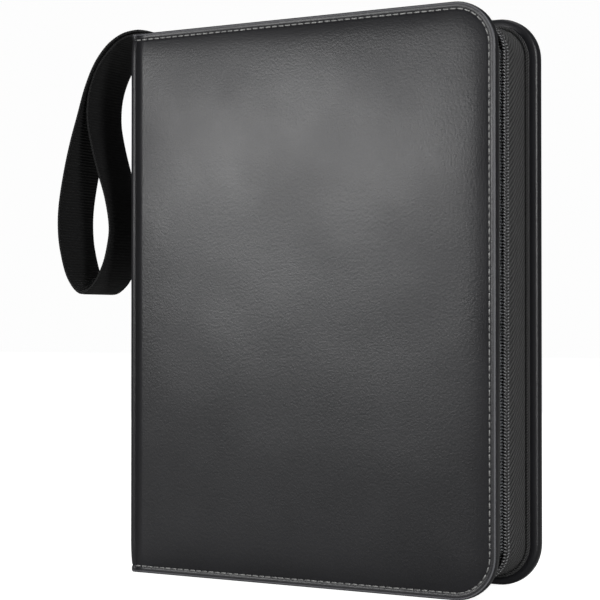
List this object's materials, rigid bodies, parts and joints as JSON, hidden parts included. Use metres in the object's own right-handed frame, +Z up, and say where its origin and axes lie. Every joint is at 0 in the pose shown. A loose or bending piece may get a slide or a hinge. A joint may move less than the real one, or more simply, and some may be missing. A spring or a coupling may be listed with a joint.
{
  "type": "trading card binder",
  "caption": "Black padded zip-up ring binder for trading cards, with nine-pocket leaves on a ring mechanism and a webbing carrying strap at the spine.",
  "frame": {"origin": "middle of the spine's outer face, at its foot, on the plane that the closed case stands on", "axes": "+X from the spine to the fore-edge, -Y out of the front cover, +Z up"},
  "size_m": [0.32, 0.072, 0.3462],
  "materials": {
    "leather": "satin, fine grain",
    "board": "matt",
    "foam": "matt foam",
    "lining": "matt woven lining",
    "binding": "woven binding",
    "zip_tape": "herringbone twill",
    "zip_teeth": "glossy nylon coil",
    "zip_metal": "black",
    "slider": "black, satin",
    "pull": "soft black",
    "webbing": "ribbed webbing",
    "black_steel": "black, satin",
    "steel": "satin",
    "chrome": "polished",
    "lever": "satin",
    "film": "clear, soft gloss",
    "card": "glossy printed card"
  },
  "bodies": {
    "spine": {"spine_cover": "leather", "spine_board": "board", "spine_lining": "lining", "ring_base": "black_steel", "base_rivets": "steel", "lever_pins": "steel", "strap_anchor": "webbing"},
    "strap": {"carry_strap": "webbing"},
    "slider": {"zip_slider": "slider"},
    "pull": {"zip_pull": "pull"},
    "top_lever": {"top_lever": "lever"},
    "bottom_lever": {"bottom_lever": "lever"},
    "front_shell": {"front_cover": "leather", "front_padding": "foam", "front_board": "board", "front_lining": "lining", "front_edge_band": "leather", "front_tape_binding": "binding", "front_zip_tape": "zip_tape", "front_zip_teeth": "zip_teeth", "front_zip_stops": "zip_metal"},
    "front_rings": {"front_blade": "steel", "front_ring_top": "chrome", "front_ring_middle": "chrome", "front_ring_bottom": "chrome"},
    "front_leaf_1": {"front_leaf_1": "film", "front_cards_top": "card", "front_cards_middle": "card", "front_cards_bottom": "card"},
    "front_leaf_2": {"front_leaf_2": "film"},
    "front_leaf_3": {"front_leaf_3": "film"},
    "front_leaf_4": {"front_leaf_4": "film"},
    "front_leaf_5": {"front_leaf_5": "film"},
    "back_shell": {"back_cover": "leather", "back_padding": "foam", "back_board": "board", "back_lining": "lining", "back_edge_band": "leather", "back_tape_binding": "binding", "back_zip_tape": "zip_tape", "back_zip_teeth": "zip_teeth", "back_zip_stops": "zip_metal"},
    "back_rings": {"back_blade": "steel", "back_ring_top": "chrome", "back_ring_middle": "chrome", "back_ring_bottom": "chrome"},
    "back_leaf_1": {"back_leaf_1": "film", "back_cards_top": "card", "back_cards_middle": "card", "back_cards_bottom": "card"},
    "back_leaf_2": {"back_leaf_2": "film"},
    "back_leaf_3": {"back_leaf_3": "film"},
    "back_leaf_4": {"back_leaf_4": "film"},
    "back_leaf_5": {"back_leaf_5": "film"}
  },
  "joints": [
    {"name": "front_cover_hinge", "type": "hinge", "parent": "spine", "child": "front_shell", "pos_m": [0, -0.036, 0], "axis": [0, 0, -1], "range_deg": [0, 90]},
    {"name": "front_leaf_1_turn", "type": "hinge", "parent": "spine", "child": "front_leaf_1", "pos_m": [0.0225, 0, 0], "axis": [0, 0, -1], "range_deg": [0, 90]},
    {"name": "front_leaf_2_turn", "type": "hinge", "parent": "spine", "child": "front_leaf_2", "pos_m": [0.0225, 0, 0], "axis": [0, 0, -1], "range_deg": [0, 90]},
    {"name": "front_leaf_3_turn", "type": "hinge", "parent": "spine", "child": "front_leaf_3", "pos_m": [0.0225, 0, 0], "axis": [0, 0, -1], "range_deg": [0, 90]},
    {"name": "front_leaf_4_turn", "type": "hinge", "parent": "spine", "child": "front_leaf_4", "pos_m": [0.0225, 0, 0], "axis": [0, 0, -1], "range_deg": [0, 90]},
    {"name": "front_leaf_5_turn", "type": "hinge", "parent": "spine", "child": "front_leaf_5", "pos_m": [0.0225, 0, 0], "axis": [0, 0, -1], "range_deg": [0, 90]},
    {"name": "back_cover_hinge", "type": "hinge", "parent": "spine", "child": "back_shell", "pos_m": [0, 0.036, 0], "axis": [0, 0, 1], "range_deg": [0, 90]},
    {"name": "back_leaf_1_turn", "type": "hinge", "parent": "spine", "child": "back_leaf_1", "pos_m": [0.0225, 0, 0], "axis": [0, 0, 1], "range_deg": [0, 90]},
    {"name": "back_leaf_2_turn", "type": "hinge", "parent": "spine", "child": "back_leaf_2", "pos_m": [0.0225, 0, 0], "axis": [0, 0, 1], "range_deg": [0, 90]},
    {"name": "back_leaf_3_turn", "type": "hinge", "parent": "spine", "child": "back_leaf_3", "pos_m": [0.0225, 0, 0], "axis": [0, 0, 1], "range_deg": [0, 90]},
    {"name": "back_leaf_4_turn", "type": "hinge", "parent": "spine", "child": "back_leaf_4", "pos_m": [0.0225, 0, 0], "axis": [0, 0, 1], "range_deg": [0, 90]},
    {"name": "back_leaf_5_turn", "type": "hinge", "parent": "spine", "child": "back_leaf_5", "pos_m": [0.0225, 0, 0], "axis": [0, 0, 1], "range_deg": [0, 90]},
    {"name": "ring_open", "type": "hinge", "parent": "spine", "child": "front_rings", "pos_m": [0.0071, -0.0115, 0], "axis": [0, 0, -1], "range_deg": [0, 9]},
    {"name": "back_ring_open", "type": "hinge", "parent": "spine", "child": "back_rings", "pos_m": [0.0071, 0.0115, 0], "axis": [0, 0, 1], "range_deg": [0, 9]},
    {"name": "top_lever_press", "type": "hinge", "parent": "spine", "child": "top_lever", "pos_m": [0.0084, 0, 0.303], "axis": [0, -1, 0], "range_deg": [0, 23.4]},
    {"name": "bottom_lever_press", "type": "hinge", "parent": "spine", "child": "bottom_lever", "pos_m": [0.0084, 0, 0.037], "axis": [0, 1, 0], "range_deg": [0, 23.4]},
    {"name": "zip_slide", "type": "slide", "parent": "back_shell", "child": "slider", "axis": [1, 0, 0], "range_m": [0, 0.195]},
    {"name": "pull_swing", "type": "hinge", "parent": "slider", "child": "pull", "pos_m": [0.0153, 0, 0.3377], "axis": [0, -1, 0], "range_deg": [0, 110]},
    {"name": "strap_swing", "type": "hinge", "parent": "spine", "child": "strap", "pos_m": [0.001, 0, 0.3433], "axis": [0, 1, 0], "range_deg": [0, 150]}
  ],
  "couplings": [
    {"joint": "front_leaf_1_turn", "follows": "front_cover_hinge", "ratio": 0.976},
    {"joint": "front_leaf_2_turn", "follows": "front_cover_hinge", "ratio": 0.982},
    {"joint": "front_leaf_3_turn", "follows": "front_cover_hinge", "ratio": 0.988},
    {"joint": "front_leaf_4_turn", "follows": "front_cover_hinge", "ratio": 0.994},
    {"joint": "front_leaf_5_turn", "follows": "front_cover_hinge", "ratio": 1},
    {"joint": "back_leaf_1_turn", "follows": "back_cover_hinge", "ratio": 0.976},
    {"joint": "back_leaf_2_turn", "follows": "back_cover_hinge", "ratio": 0.982},
    {"joint": "back_leaf_3_turn", "follows": "back_cover_hinge", "ratio": 0.988},
    {"joint": "back_leaf_4_turn", "follows": "back_cover_hinge", "ratio": 0.994},
    {"joint": "back_leaf_5_turn", "follows": "back_cover_hinge", "ratio": 1},
    {"joint": "back_ring_open", "follows": "ring_open", "ratio": 1},
    {"joint": "top_lever_press", "follows": "ring_open", "ratio": 2.6},
    {"joint": "bottom_lever_press", "follows": "ring_open", "ratio": 2.6}
  ]
}
